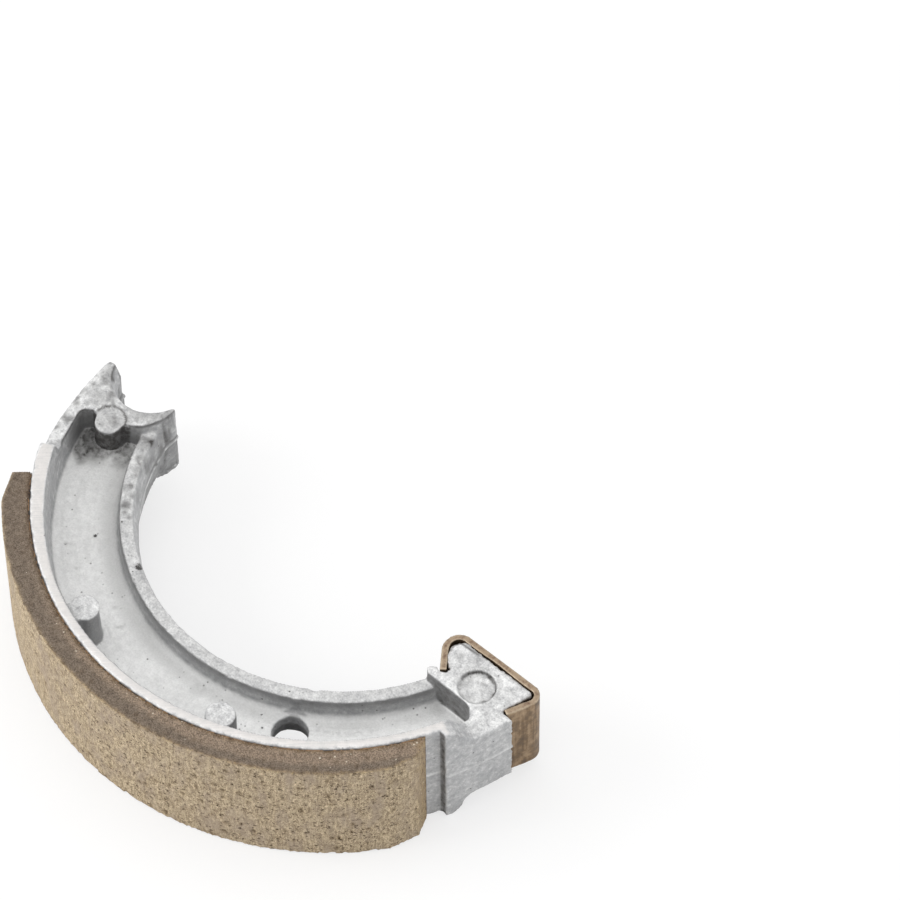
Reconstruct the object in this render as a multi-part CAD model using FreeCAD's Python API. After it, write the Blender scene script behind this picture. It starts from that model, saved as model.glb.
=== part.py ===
# Bonded brake shoe for a small drum: one die-cast aluminium shoe, its moulded friction
# lining, the film of adhesive between them and the folded steel clip that takes the cam.
# Millimetres. The origin is the axis of the drum in the lower side face of the shoe. +Z runs
# along the drum's axis, +X from the pivot end to the cam end, and the shoe lies towards -Y.
import FreeCAD
import Part
import math
import os

from FreeCAD import Vector

# Drum and lining
drum_radius = 55.0              # outer face of the lining
shoe_width = 25.0               # along the drum's axis
lining_thickness = 4.55
lining_pivot_deg = 53.7         # from -Y round to each end of the lining
lining_cam_deg = 60.6
lining_end_thickness = 3.2      # what is left of the thickness at each bevelled end
pivot_end_slant_deg = 0.3       # how far each end face leans back over that thickness
cam_end_slant_deg = 2.7
pivot_bevel_deg = 6.3
cam_bevel_deg = 8.2
film_thickness = 0.15
film_inset = 0.2                # from the sides and ends of the lining

# Rim
rim_top_thickness = 2.1         # at the two ground edges
rim_draft_deg = 6.0
rim_fillet = 1.2
rim_edge_round = 0.3
pivot_rim_past_deg = 7.3        # full width of the rim, past each end of the lining
cam_rim_past_deg = 6.8
pivot_cove_radius = 4.2
cam_cove_radius = 3.0
cam_pad_step = 1.35             # the as-cast pad stands proud of the turned rim
cam_pad_gap_deg = 3.0           # between the lining and the pad

# Web, with its hole for the spring's hooked end
web_thickness = 4.0
spring_hole_radius = 3.2
spring_hole_inset = 9.4         # from the outside of the rim
spring_hole_deg = 32.9          # from -Y towards the cam end

# Inner rib, an arc about a centre of its own
rib_centre_x = 1.1
rib_centre_y = 2.9
rib_inset = 14.95               # hub side at the parting plane, from the rim's radius
rib_top_thickness = 2.7
rib_height = 11.6               # along the drum's axis
rib_hub_draft_deg = 4.5
rib_channel_draft_deg = 5.0
rib_fillet = 1.5
rib_edge_round = 0.5
rib_toe_lap_deg = 0.65          # how far it runs into the cam block past the toe

# End blocks
block_height = 16.5             # along the drum's axis
split_clearance = 2.2           # from the pivot's horns to the line between the two shoes

# Pivot block with its half-round seat for the anchor pin
pin_radius = 6.0
pin_fit = 0.05
pin_inset = 9.9                 # from the outside of the rim
seat_relief = 1.1               # the upper half of the seat is cut deeper by this
lead_in_depth = 3.2
lead_in_growth = 1.0
lead_in_shift = 0.4             # towards the outer horn and away from the pin
under_lead_in_depth = 1.5
under_lead_in_growth = 1.0
horn_step = 1.15                # from the outside of the rim down to the outer horn's tip
eye_wall = 1.65                 # rounded back of the seat
eye_shift = 0.5                 # from the pin, outwards
eye_drop = 3.35                 # from the pin, away from the other shoe
eye_fillet = 2.4
pocket_shift = 5.1              # end of the channel beside the eye, from the pin, outwards
pocket_drop = 12.4              # from the pin, away from the other shoe
pocket_round = 1.5
pocket_wall = 3.1               # outer wall beside the pocket

# Cam block: a dovetail head that the clip grips, on a wider foot
head_drop = 5.05                # from the line through the drum's axis to the head's face
head_width = 17.45              # between the corners of the face before rounding
head_inset = 0.75               # its outer corner, from the outside of the rim
head_left_lean_deg = 37.0       # how far each flank leans in
head_right_lean_deg = 16.0
head_left_round = 1.6
shoulder_drop = 5.9             # from the head's face to the shoulder under the right lip
toe_shift = 0.65                # point of the left shoulder, from the left corner of the face
toe_drop = 7.25
toe_slope = 1.0                 # run of the toe's short lower side
toe_round = 0.4
slot_wall = 0.8                 # height of the wall that the left lip is tucked behind
slot_play = 0.2
slot_end_gap = 0.3              # past the tip of the left lip
foot_drop = 8.45                # from the head's face to the channel
foot_side_inset = 4.8           # channel's end wall, from the head's right corner
foot_channel_round = 2.8
recess_radius = 3.2             # ejector mark sunk into the block
recess_depth = 0.4
recess_shift = 9.9              # from the left corner of the face
recess_drop = 5.05

# Raised ejector marks on the upper face
boss_radius = 2.65
pivot_boss_deg = 20.6           # the two beside the rim, from -Y
cam_boss_deg = 19.2
rim_boss_drop = 2.0             # below the ground edge of the rim
eye_boss_shift = 0.4            # beyond the back of the eye
eye_boss_drop = 0.4             # below the top of the pivot block

# Folded clip
clip_thickness = 1.2
clip_face_gap = 0.2
clip_left_gap = 0.5             # beside the left flank
clip_right_spread_deg = 8.0     # the right lip touches its flank with its tip alone
clip_left_bend = 1.7            # inner radius
clip_right_bend = 1.1
clip_left_lip = 6.9             # down each flank
clip_right_lip = 5.6
clip_height = 17.2
clip_drop = 0.65                # below the middle of the block's height

# Values that follow from those above
lap = 1.0                       # how far parts of the casting run into each other
past = 5.0                      # how far cutters run past what they cut
up = Vector(0, 0, 1)
middle = shoe_width / 2
web_low = middle - web_thickness / 2
web_high = middle + web_thickness / 2
block_low = middle - block_height / 2
block_high = middle + block_height / 2
rim_radius = drum_radius - lining_thickness - film_thickness
rim_inner = rim_radius - rim_top_thickness
cam_pad_radius = rim_radius + cam_pad_step
lining_start_deg = 270 - lining_pivot_deg
lining_end_deg = 270 + lining_cam_deg
rim_pivot_deg = lining_start_deg - pivot_rim_past_deg
rim_cam_deg = lining_end_deg + cam_rim_past_deg
horn_start_deg = rim_pivot_deg - math.degrees(pivot_cove_radius / rim_radius)
rib_radius = rim_radius - rib_inset
pin_x = pin_inset - rim_radius
seat_radius = pin_radius + pin_fit
eye_radius = seat_radius + eye_wall
eye_x = pin_x - eye_shift
eye_y = -eye_drop
pocket_x = pin_x - pocket_shift
pocket_y = -pocket_drop
head_y = -head_drop
head_right_x = rim_radius - head_inset
head_left_x = head_right_x - head_width
shoulder_y = head_y - shoulder_drop
foot_y = head_y - foot_drop
toe_x = head_left_x + toe_shift
toe_y = head_y - toe_drop


def polar(radius, degrees, centre=(0.0, 0.0)):
    turn = math.radians(degrees)
    return (centre[0] + radius * math.cos(turn), centre[1] + radius * math.sin(turn))


def flat(point, z=0.0):
    return Vector(point[0], point[1], z)


def arc_through(first, mid, last, z=0.0):
    return Part.Arc(flat(first, z), flat(mid, z), flat(last, z)).toShape()


def arc_about(centre, radius, start_deg, end_deg, z=0.0):
    points = [polar(radius, d, centre) for d in (start_deg, (start_deg + end_deg) / 2, end_deg)]
    return arc_through(*points, z)


def line(first, last, z=0.0):
    return Part.LineSegment(flat(first, z), flat(last, z)).toShape()


def slab(edges, low, high):
    # A solid from a closed chain of edges drawn at z 0
    face = Part.Face(Part.Wire(Part.__sortEdges__(edges)))
    face.translate(Vector(0, 0, low))
    return face.extrude(Vector(0, 0, high - low))


def disc(x, y, radius, low, high):
    return Part.makeCylinder(radius, high - low, Vector(x, y, low), up)


def rounded(points, rounds):
    # A closed outline of straight edges with the named corners rounded.
    # rounds maps the number of a corner to its radius.
    edges = []
    count = len(points)
    starts = {}
    ends = {}
    for i in range(count):
        here = flat(points[i])
        before = flat(points[i - 1])
        after = flat(points[(i + 1) % count])
        radius = rounds.get(i, 0.0)
        if radius == 0.0:
            starts[i] = here
            ends[i] = here
            continue
        back = (before - here).normalize()
        ahead = (after - here).normalize()
        half = back.getAngle(ahead) / 2
        run = radius / math.tan(half)
        bisector = (back + ahead).normalize()
        centre = here + bisector * (radius / math.sin(half))
        starts[i] = here + back * run
        ends[i] = here + ahead * run
        edges.append(Part.Arc(starts[i], centre - bisector * radius, ends[i]).toShape())
    for i in range(count):
        following = (i + 1) % count
        if (starts[following] - ends[i]).Length > 1e-6:
            edges.append(Part.LineSegment(ends[i], starts[following]).toShape())
    return edges


def turned(edges, centre, start_deg, end_deg):
    # A section drawn as radius and height, swept about an upright axis
    face = Part.Face(Part.Wire(Part.__sortEdges__(edges)))
    face.rotate(Vector(0, 0, 0), Vector(1, 0, 0), 90)
    face.rotate(Vector(0, 0, 0), up, start_deg)
    face.translate(flat(centre))
    return face.revolve(flat(centre), up, end_deg - start_deg)


def mirrored(shape):
    return shape.mirror(Vector(0, 0, middle), up)


def bearing(x, y, centre=(0.0, 0.0)):
    # Direction of a point, in degrees from 0 to 360
    return math.degrees(math.atan2(y - centre[1], x - centre[0])) % 360


def rim_wall():
    depth = shoe_width - web_high
    root_radius = rim_inner - depth * math.tan(math.radians(rim_draft_deg))
    inside = root_radius - rim_fillet - lap
    points = [
        (rim_radius, 0),
        (rim_radius, shoe_width),
        (rim_inner, shoe_width),
        (root_radius, web_high),
        (inside, web_high),
        (inside, web_low),
        (root_radius, web_low),
        (rim_inner, 0),
    ]
    rounds = {2: rim_edge_round, 3: rim_fillet, 6: rim_fillet, 7: rim_edge_round}
    start = bearing(pocket_x, eye_y - eye_radius + lap)
    end = 360 + math.degrees(math.asin((foot_y + lap) / inside))
    return turned(rounded(points, rounds), (0, 0), start, end)


def rib():
    half = rib_height / 2
    hub_radius = rib_radius + half * math.tan(math.radians(rib_hub_draft_deg))
    top_radius = hub_radius + rib_top_thickness
    root_run = (half - web_thickness / 2) * math.tan(math.radians(rib_channel_draft_deg))
    inside = top_radius + root_run + rib_fillet + lap
    points = [
        (rib_radius, middle),
        (hub_radius, middle + half),
        (top_radius, middle + half),
        (top_radius + root_run, web_high),
        (inside, web_high),
        (inside, web_low),
        (top_radius + root_run, web_low),
        (top_radius, middle - half),
        (hub_radius, middle - half),
    ]
    rounds = {1: rib_edge_round, 2: rib_edge_round, 7: rib_edge_round, 8: rib_edge_round}
    rounds.update({3: rib_fillet, 6: rib_fillet})
    centre = (rib_centre_x, rib_centre_y)
    start = bearing(eye_x, eye_y, centre)
    end = bearing(toe_x, toe_y, centre) + rib_toe_lap_deg
    return turned(rounded(points, rounds), centre, start, end)


def web():
    # The floor of the channel, reaching into the rim, the rib and both end blocks
    ring = disc(0, 0, rim_radius - lap, web_low, web_high)
    ring = ring.cut(disc(rib_centre_x, rib_centre_y, rib_radius + lap, web_low, web_high))
    pivot_edge = eye_y - eye_radius / 2
    cam_edge = (foot_y + shoulder_y) / 2
    reach = drum_radius
    points = [
        (-reach, pivot_edge),
        (0, pivot_edge),
        (0, cam_edge),
        (reach, cam_edge),
        (reach, -reach),
        (-reach, -reach),
    ]
    return ring.common(slab(rounded(points, {}), web_low, web_high))


def pivot_block():
    # The horns, the wall beside the pocket and its run-out into the rim, and the eye
    lap_deg = math.degrees(lap / rim_radius)
    pocket_deg = bearing(pocket_x, pocket_y)
    points = [
        (-rim_radius - past, 0),
        (pin_x, 0),
        (eye_x, eye_y - eye_radius / 2),
        (eye_x - eye_shift, eye_y - eye_radius + pin_fit),
        (pocket_x, pocket_y),
        polar(rim_radius - pocket_wall, (pocket_deg + horn_start_deg) / 2),
        polar(rim_inner, rim_pivot_deg + lap_deg),
        polar(rim_radius - pin_fit, rim_pivot_deg + lap_deg),
        polar(rim_radius, horn_start_deg),
        (-rim_radius - past, pocket_y),
    ]
    horn = slab(rounded(points, {4: pocket_round}), block_low, block_high)
    return horn.fuse(disc(eye_x, eye_y, eye_radius, block_low, block_high))


def eye_root():
    # Fillet between the floor of the channel and the rounded back of the seat
    inner = eye_radius - lap
    outer = eye_radius + eye_fillet
    floor = web_high - lap
    top = web_high + eye_fillet
    edges = [
        line((inner, floor), (inner, top)),
        line((inner, top), (eye_radius, top)),
        arc_about((outer, top), eye_fillet, 180, 270),
        line((outer, web_high), (outer, floor)),
        line((outer, floor), (inner, floor)),
    ]
    start = bearing(pocket_x, pocket_y, (eye_x, eye_y))
    end = bearing(-rib_radius, -rib_radius, (eye_x, eye_y))
    return turned(edges, (eye_x, eye_y), start, end)


def horn_trim():
    # What lies outside the pivot block's own outer face
    tip_deg = 180 - math.degrees(split_clearance / rim_radius)
    tip_radius = rim_radius - horn_step
    swell = tip_radius + horn_step / 5
    start = polar(tip_radius, tip_deg)
    end = polar(rim_radius, horn_start_deg)
    far_start = polar(rim_radius + 2 * past, tip_deg)
    far_end = polar(rim_radius + 2 * past, horn_start_deg)
    edges = [
        arc_through(start, polar(swell, (tip_deg + horn_start_deg) / 2), end),
        line(end, far_end),
        line(far_end, far_start),
        line(far_start, start),
    ]
    return slab(edges, -past, shoe_width + past)


def seat_cutters():
    seat = disc(pin_x, 0, seat_radius, -past, shoe_width + past)
    relief = disc(pin_x, -seat_relief, seat_radius, middle, shoe_width + past)
    lead_low = block_high - lead_in_depth
    lead_x = pin_x - lead_in_shift
    lead_y = -lead_in_shift
    start = Vector(lead_x, lead_y, lead_low)
    narrow = seat_radius - lead_in_shift
    upper = Part.makeCone(narrow, seat_radius + lead_in_growth, lead_in_depth, start, up)
    lower_start = Vector(pin_x, 0, block_low)
    wide = seat_radius + under_lead_in_growth
    lower = Part.makeCone(wide, seat_radius, under_lead_in_depth, lower_start, up)
    return seat.multiFuse([relief, upper, lower])


def split_trim():
    # The space past the line between the two shoes, above the pivot's horns
    corner = Vector(-drum_radius, -split_clearance, -past)
    return Part.makeBox(drum_radius, drum_radius, shoe_width + 2 * past, corner)


def cove(rim_end_deg, radius, direction):
    # Hollow step from the full width of the rim down to the level of an end block.
    # direction is 1 where the step follows the rim's end and -1 where it goes before it.
    high = shoe_width + past
    reach = 3 * past
    edges = [
        line((0, high), (0, block_high + radius)),
        arc_about((radius, block_high + radius), radius, 180, 270),
        line((radius, block_high), (reach, block_high)),
        line((reach, block_high), (reach, high)),
        line((reach, high), (0, high)),
    ]
    face = Part.Face(Part.Wire(Part.__sortEdges__(edges)))
    face.rotate(Vector(0, 0, 0), Vector(1, 0, 0), 90)
    depth = 3 * past
    cutter = face.extrude(Vector(0, depth, 0))
    cutter.rotate(Vector(0, 0, 0), up, rim_end_deg + 90 * direction)
    near = rim_radius + depth / 2 * direction
    cutter.translate(flat(polar(near, rim_end_deg)))
    return cutter


def left_flank(distance, offset=0.0):
    # A point down the head's left flank, moved off it to the outside by offset
    lean = math.radians(head_left_lean_deg)
    x = head_left_x + distance * math.sin(lean) - offset * math.cos(lean)
    y = head_y - distance * math.cos(lean) - offset * math.sin(lean)
    return (x, y)


def right_flank(distance, offset=0.0):
    lean = math.radians(head_right_lean_deg)
    x = head_right_x - distance * math.sin(lean) + offset * math.cos(lean)
    y = head_y - distance * math.cos(lean) - offset * math.sin(lean)
    return (x, y)


def cam_block():
    slot_width = clip_left_gap + clip_thickness + slot_play
    slot_end = clip_left_lip + slot_end_gap
    shoulder_run = shoulder_drop / math.cos(math.radians(head_right_lean_deg))
    end_wall_x = head_right_x - foot_side_inset
    points = [
        (head_left_x, head_y),
        (head_right_x, head_y),
        right_flank(shoulder_run),
        (cam_pad_radius + past, shoulder_y),
        polar(cam_pad_radius + past, rim_cam_deg + lap),
        polar(rim_inner + lap, rim_cam_deg),
        (end_wall_x, foot_y - foot_channel_round - pin_fit),
        (end_wall_x, foot_y),
        (toe_x + toe_slope, foot_y),
        (toe_x, toe_y),
        left_flank(slot_end - slot_wall, slot_width),
        left_flank(slot_end, slot_width),
        left_flank(slot_end),
    ]
    rounds = {
        0: head_left_round,
        1: clip_right_bend,
        7: foot_channel_round,
        8: toe_round,
        9: toe_round,
    }
    block = slab(rounded(points, rounds), block_low, block_high)
    return block.common(disc(0, 0, cam_pad_radius, block_low, block_high))


def cam_pad():
    # The as-cast outer face at the cam end
    start = lining_end_deg + cam_pad_gap_deg
    end = rim_cam_deg + math.degrees(2 * cam_cove_radius / rim_radius)
    inner = rim_radius - lap
    edges = [
        arc_about((0, 0), inner, start, end),
        arc_about((0, 0), cam_pad_radius, start, end),
        line(polar(inner, start), polar(cam_pad_radius, start)),
        line(polar(inner, end), polar(cam_pad_radius, end)),
    ]
    return slab(edges, 0, shoe_width)


def ejector_bosses():
    eye_boss = (pin_x, eye_y - eye_radius - eye_boss_shift)
    distance = rim_inner - boss_radius
    spots = [
        (polar(distance, 270 - pivot_boss_deg), shoe_width - rim_boss_drop),
        (polar(distance, 270 + cam_boss_deg), shoe_width - rim_boss_drop),
        (eye_boss, block_high - eye_boss_drop),
    ]
    return [disc(x, y, boss_radius, middle, high) for (x, y), high in spots]


def recesses():
    # The mark sunk into the cam block, and the ring left clear round the eye's boss
    x = head_left_x + recess_shift
    y = head_y - recess_drop
    sunk = disc(x, y, recess_radius, block_high - recess_depth, shoe_width)
    boss_y = eye_y - eye_radius - eye_boss_shift
    over_boss = disc(pin_x, boss_y, boss_radius, block_high - eye_boss_drop, shoe_width)
    return [sunk, over_boss]


def shoe_casting():
    shape = rim_wall().multiFuse([rib(), web(), pivot_block(), cam_block(), cam_pad()])
    shape = shape.multiFuse([eye_root(), mirrored(eye_root())])
    pivot_cove = cove(rim_pivot_deg, pivot_cove_radius, -1)
    cam_cove = cove(rim_cam_deg, cam_cove_radius, 1)
    for cutter in (pivot_cove, cam_cove):
        shape = shape.cut(cutter)
        shape = shape.cut(mirrored(cutter))
    hole_x, hole_y = polar(rim_radius - spring_hole_inset, 270 + spring_hole_deg)
    hole = disc(hole_x, hole_y, spring_hole_radius, 0, shoe_width)
    for cutter in [horn_trim(), split_trim(), seat_cutters(), hole] + recesses():
        shape = shape.cut(cutter)
    shape = shape.multiFuse(ejector_bosses())
    return shape.removeSplitter().Solids[0]


def friction_lining():
    inner = rim_radius + film_thickness
    end_radius = inner + lining_end_thickness
    start = polar(inner, lining_start_deg)
    start_corner = polar(end_radius, lining_start_deg + pivot_end_slant_deg)
    bevel_start = lining_start_deg + pivot_bevel_deg
    end = polar(inner, lining_end_deg)
    end_corner = polar(end_radius, lining_end_deg - cam_end_slant_deg)
    bevel_end = lining_end_deg - cam_bevel_deg
    edges = [
        arc_about((0, 0), inner, lining_start_deg, lining_end_deg),
        line(start, start_corner),
        line(start_corner, polar(drum_radius, bevel_start)),
        arc_about((0, 0), drum_radius, bevel_start, bevel_end),
        line(polar(drum_radius, bevel_end), end_corner),
        line(end_corner, end),
    ]
    return slab(edges, 0, shoe_width)


def adhesive_film():
    inset_deg = math.degrees(film_inset / rim_radius)
    start = lining_start_deg + inset_deg
    end = lining_end_deg - inset_deg
    outer = rim_radius + film_thickness
    edges = [
        arc_about((0, 0), rim_radius, start, end),
        arc_about((0, 0), outer, start, end),
        line(polar(rim_radius, start), polar(outer, start)),
        line(polar(rim_radius, end), polar(outer, end)),
    ]
    return slab(edges, film_inset, shoe_width - film_inset)


def cam_clip():
    # Folded from one strip: a flat face for the cam and two lips that grip the head
    inner_y = head_y + clip_face_gap
    outer_y = inner_y + clip_thickness
    left_lean = math.radians(head_left_lean_deg)
    right_lean = math.radians(head_right_lean_deg + clip_right_spread_deg)
    left_tip = left_flank(clip_left_lip, clip_left_gap)
    left_out = left_flank(clip_left_lip, clip_left_gap + clip_thickness)
    right_tip = right_flank(clip_right_lip)
    right_out_x = right_tip[0] + clip_thickness * math.cos(right_lean)
    right_out = (right_out_x, right_tip[1] - clip_thickness * math.sin(right_lean))

    def along(tip, lean, side, height):
        # Where the line of a lip meets a height in y
        return (tip[0] + side * (height - tip[1]) * math.tan(lean), height)

    points = [
        left_out,
        along(left_out, left_lean, -1, outer_y),
        along(right_out, right_lean, 1, outer_y),
        right_out,
        right_tip,
        along(right_tip, right_lean, 1, inner_y),
        along(left_tip, left_lean, -1, inner_y),
        left_tip,
    ]
    rounds = {
        1: clip_left_bend + clip_thickness,
        2: clip_right_bend + clip_thickness,
        5: clip_right_bend,
        6: clip_left_bend,
    }
    low = middle - clip_drop - clip_height / 2
    return slab(rounded(points, rounds), low, low + clip_height)


nodes = {
    "shoe_casting": shoe_casting(),
    "friction_lining": friction_lining(),
    "adhesive_film": adhesive_film(),
    "cam_clip": cam_clip(),
}

os.makedirs("parts", exist_ok=True)
for name, shape in nodes.items():
    shape.exportStep("parts/" + name + ".step")
    box = shape.BoundBox
    print(name, shape.ShapeType, len(shape.Solids), shape.isValid(), round(shape.Volume, 1))
    print("  X", round(box.XMin, 2), round(box.XMax, 2), "Y", round(box.YMin, 2), round(box.YMax, 2),
          "Z", round(box.ZMin, 2), round(box.ZMax, 2))
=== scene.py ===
import math

import bmesh
import bpy
import numpy as np
from mathutils import Matrix, Vector, noise


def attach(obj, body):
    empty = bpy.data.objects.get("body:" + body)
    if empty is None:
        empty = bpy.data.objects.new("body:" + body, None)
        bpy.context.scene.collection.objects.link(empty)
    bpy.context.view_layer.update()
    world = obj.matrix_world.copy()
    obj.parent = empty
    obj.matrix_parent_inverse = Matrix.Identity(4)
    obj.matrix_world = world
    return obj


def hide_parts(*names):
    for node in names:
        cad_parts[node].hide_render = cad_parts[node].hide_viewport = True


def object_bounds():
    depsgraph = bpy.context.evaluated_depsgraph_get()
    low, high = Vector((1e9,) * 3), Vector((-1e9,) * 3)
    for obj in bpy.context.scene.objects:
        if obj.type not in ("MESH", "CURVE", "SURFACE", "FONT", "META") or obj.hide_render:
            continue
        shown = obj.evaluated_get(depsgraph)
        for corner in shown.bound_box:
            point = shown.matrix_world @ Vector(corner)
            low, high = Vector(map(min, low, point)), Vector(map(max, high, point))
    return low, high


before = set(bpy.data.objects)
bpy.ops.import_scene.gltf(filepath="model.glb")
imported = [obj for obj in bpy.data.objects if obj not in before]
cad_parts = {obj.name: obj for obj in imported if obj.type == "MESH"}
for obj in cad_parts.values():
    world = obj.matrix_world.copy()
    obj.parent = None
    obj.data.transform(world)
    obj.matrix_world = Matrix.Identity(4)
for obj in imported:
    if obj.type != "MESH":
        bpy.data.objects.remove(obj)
cadLow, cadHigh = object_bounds()
print("frame loaded")

shoeWidth = 25.0
inset = 0.01  # worn skins stay about that far inside the solids' box


def hexColour(code):  # sRGB hex to linear
    channels = [int(code[i:i + 2], 16) / 255 for i in (1, 3, 5)]
    return [c / 12.92 if c <= 0.04045 else ((c + 0.055) / 1.055) ** 2.4 for c in channels] + [1.0]


def perSize(size):  # texture scale for a feature of that many millimetres
    return 1000 / size


def addNode(tree, kind, settings=None):  # a setting that is another node's socket becomes a link
    node = tree.nodes.new(kind)
    for name, value in (settings or {}).items():
        if isinstance(value, bpy.types.NodeSocket):
            tree.links.new(value, node.inputs[name])
        elif isinstance(name, str) and hasattr(node, name):
            setattr(node, name, value)
        else:
            node.inputs[name].default_value = value
    return node


def newMaterial(name):
    material = bpy.data.materials.new(name)
    material.use_nodes = True
    material.node_tree.nodes.clear()
    return material, material.node_tree


def dress(piece, material):
    piece.data.materials.clear()
    piece.data.materials.append(material)


def copyOfNode(nodeName, pieceName):  # a merged copy of the CAD solid, to be worked on
    shape = bmesh.new()
    shape.from_mesh(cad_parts[nodeName].data)
    bmesh.ops.remove_doubles(shape, verts=shape.verts, dist=2e-6)
    mesh = bpy.data.meshes.new(pieceName)
    shape.to_mesh(mesh)
    shape.free()
    piece = bpy.data.objects.new(pieceName, mesh)
    bpy.context.scene.collection.objects.link(piece)
    return piece


def settle(piece):  # makes what the modifiers give the piece's own mesh
    graph = bpy.context.evaluated_depsgraph_get()
    mesh = bpy.data.meshes.new_from_object(piece.evaluated_get(graph))
    piece.modifiers.clear()
    old = piece.data
    piece.data = mesh
    bpy.data.meshes.remove(old)


def remesh(piece, voxel, smoothing):
    skin = piece.modifiers.new("skin", "REMESH")
    skin.mode = "VOXEL"
    skin.voxel_size = voxel / 1000
    settle(piece)
    soften = piece.modifiers.new("soften", "SMOOTH")
    soften.factor = 0.5
    soften.iterations = smoothing
    settle(piece)


def layOn(piece, nodeName):  # brings the piece's points back onto the CAD solid
    wrap = piece.modifiers.new("wrap", "SHRINKWRAP")
    wrap.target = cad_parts[nodeName]
    wrap.wrap_method = "NEAREST_SURFACEPOINT"
    settle(piece)


def thin(piece, triangles):
    have = len(piece.data.polygons) * 2
    if have > triangles:
        cut = piece.modifiers.new("thin", "DECIMATE")
        cut.ratio = triangles / have
        settle(piece)
    for face in piece.data.polygons:
        face.use_smooth = True


def readMesh(mesh):  # points in millimetres, normals, edges
    count = len(mesh.vertices)
    points = np.empty(count * 3)
    mesh.vertices.foreach_get("co", points)
    normals = np.empty(count * 3)
    mesh.vertex_normals.foreach_get("vector", normals)
    edges = np.empty(len(mesh.edges) * 2, dtype=np.int64)
    mesh.edges.foreach_get("vertices", edges)
    return points.reshape(-1, 3) * 1000, normals.reshape(-1, 3), edges.reshape(-1, 2)


def writePoints(mesh, points):
    mesh.vertices.foreach_set("co", (points / 1000).ravel())
    mesh.update()


def writeAttribute(mesh, name, values):
    layer = mesh.attributes.new(name, "FLOAT", "POINT")
    layer.data.foreach_set("value", np.clip(values, 0, 1).astype(np.float32))


def ripple(points, size, shift=0.0):  # smooth noise of that size, about -1 to 1
    return np.array([noise.noise(p) for p in (points / size + shift).tolist()])


def blur(values, edges, rounds):
    weight = np.bincount(edges.ravel(), minlength=len(values)) + 1
    for _ in range(rounds):
        total = values.copy()
        total += np.bincount(edges[:, 0], values[edges[:, 1]], len(values))
        total += np.bincount(edges[:, 1], values[edges[:, 0]], len(values))
        values = total / weight
    return values


def hollowness(points, normals, edges):  # above 0 in inside corners, below 0 on outside ones
    step = points[edges[:, 1]] - points[edges[:, 0]]
    length = np.linalg.norm(step, axis=1) + 1e-9
    rise = np.zeros(len(points))
    for here, sign in ((0, 1), (1, -1)):
        slope = sign * np.einsum("ij,ij->i", step, normals[edges[:, here]]) / length
        rise += np.bincount(edges[:, here], slope, len(points))
    return rise / (np.bincount(edges.ravel(), minlength=len(points)) + 1e-9)


def nearness(points, spot, radius):  # 1 at the spot, 0 from radius on
    distance = np.linalg.norm(points - np.array(spot), axis=1)
    return np.clip(1 - distance / radius, 0, 1)


def smoothStep(low, high, values):
    t = np.clip((values - low) / (high - low), 0, 1)
    return t * t * (3 - 2 * t)


def drawnLine(points, level, width, path):  # 1 on the line that joins the path's points, 0 beside it
    closest = np.full(len(points), 1e6)
    for start, end in zip(path, path[1:]):
        start, run = np.array(start), np.array(end) - np.array(start)
        along = np.clip((points[:, :2] - start) @ run / (run @ run), 0, 1)
        away = points[:, :2] - start - along[:, None] * run
        closest = np.minimum(closest, np.linalg.norm(away, axis=1))
    return smoothStep(width, width * 0.3, closest) * (np.abs(points[:, 2] - level) < 0.7)


def roundOff(points, edges, share, rounds):  # wears corners down where share is above 0
    weight = (np.bincount(edges.ravel(), minlength=len(points)) + 1e-9)[:, None]
    for _ in range(rounds):
        total = np.zeros_like(points)
        for axis in range(3):
            total[:, axis] += np.bincount(edges[:, 0], points[edges[:, 1], axis], len(points))
            total[:, axis] += np.bincount(edges[:, 1], points[edges[:, 0], axis], len(points))
        points = points + (total / weight - points) * (share * 0.7)[:, None]
    return points


def evenOut(piece, rounds):  # takes the remesher's steps off the flats and leaves the corners
    points, normals, edges = readMesh(piece.data)
    bent = blur(np.clip(np.abs(hollowness(points, normals, edges)) * 6 - 0.3, 0, 1), edges, 2)
    writePoints(piece.data, roundOff(points, edges, 1 - np.clip(bent, 0, 1), rounds))


def aroundAxis(points):  # degrees from straight down, towards the cam end
    return np.degrees(np.arctan2(points[:, 0], -points[:, 1]))


def fromAxis(points):
    return np.hypot(points[:, 0], points[:, 1])


def keptInside(points):  # holds worn points in the solids' box
    x, y, z = points.T
    x = np.maximum(x, cadLow[0] * 1000 + inset)
    y = np.minimum(y, cadHigh[1] * 1000)
    return np.column_stack((x, y, np.clip(z, inset / 2, shoeWidth - inset)))


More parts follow.
